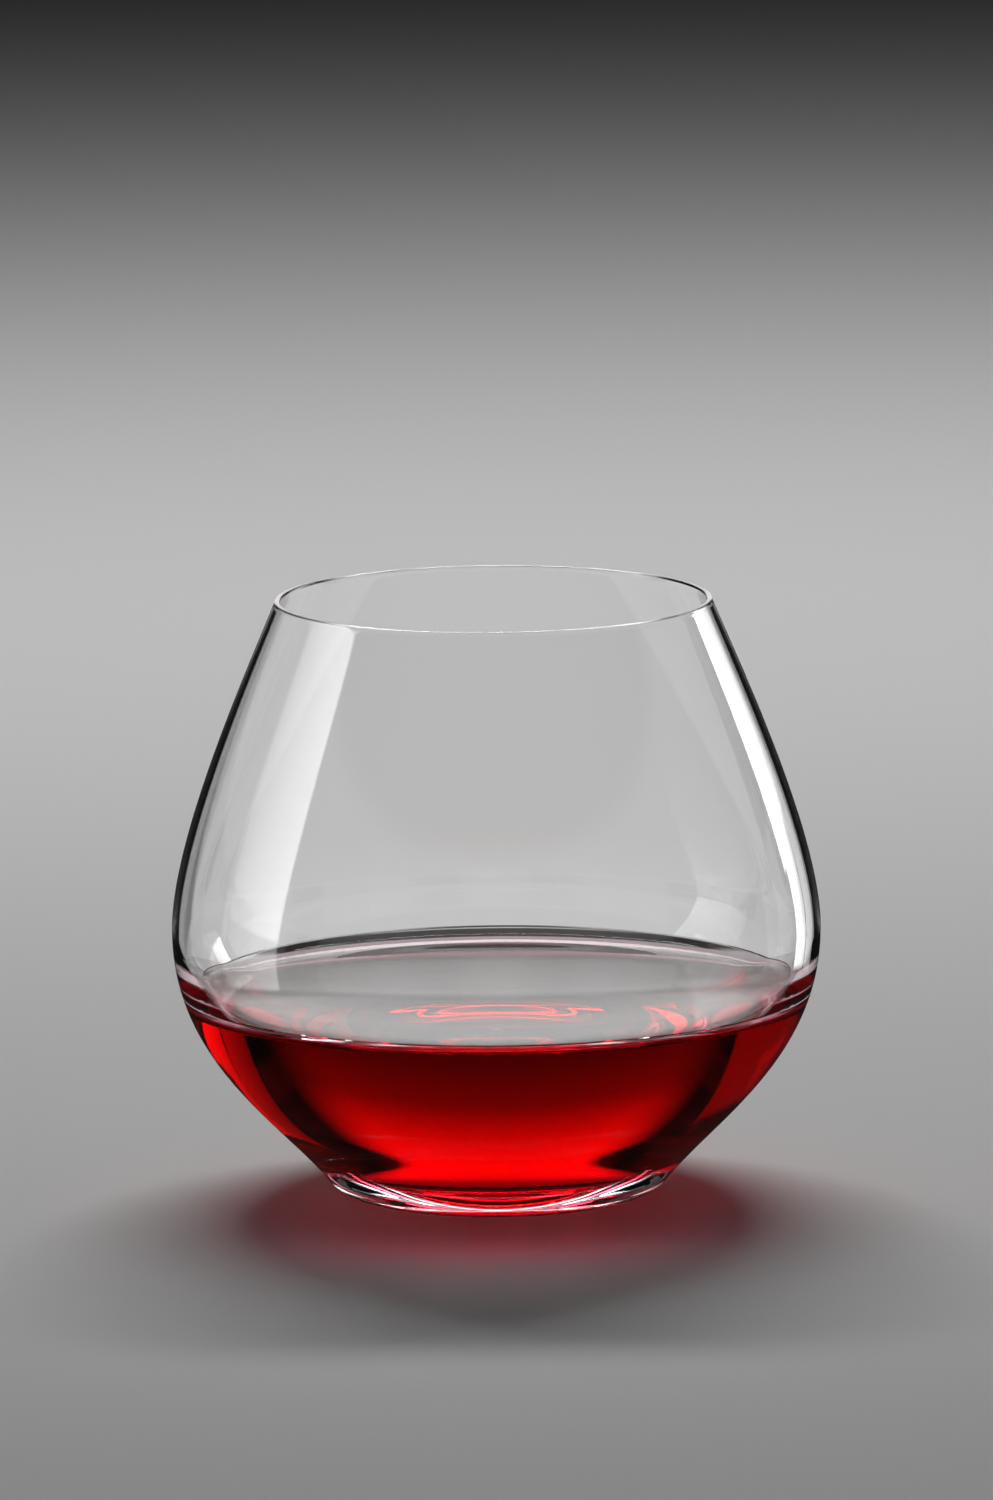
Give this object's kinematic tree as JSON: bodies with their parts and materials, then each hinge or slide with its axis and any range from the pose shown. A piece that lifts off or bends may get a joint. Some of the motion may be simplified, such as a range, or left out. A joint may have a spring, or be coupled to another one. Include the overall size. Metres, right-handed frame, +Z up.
{
  "type": "stemless wine glass",
  "caption": "Stemless wine glass with a wide low belly, a mouth that narrows to a rounded lip, a thick base hollow underneath, and a filling of red wine.",
  "frame": {"origin": "centre of the flat ring under the foot, in the plane that the glass rests on", "axes": "+Z up, along the glass's axis of revolution from the foot to the lip; the shape is the same all round, so +X and +Y are free"},
  "size_m": [0.104, 0.104, 0.096],
  "materials": {
    "clear_glass": "fire-polished, clear and colourless",
    "wine": "clear red liquid with a mirror-smooth surface"
  },
  "bodies": {
    "vessel": {"glass_vessel": "clear_glass"},
    "wine": {"red_wine": "wine"}
  },
  "joints": [
    {"name": "wine_swirl", "type": "hinge", "parent": "vessel", "child": "wine", "pos_m": [0, 0, 0.0042], "axis": [0, 0, 1], "continuous": true}
  ]
}
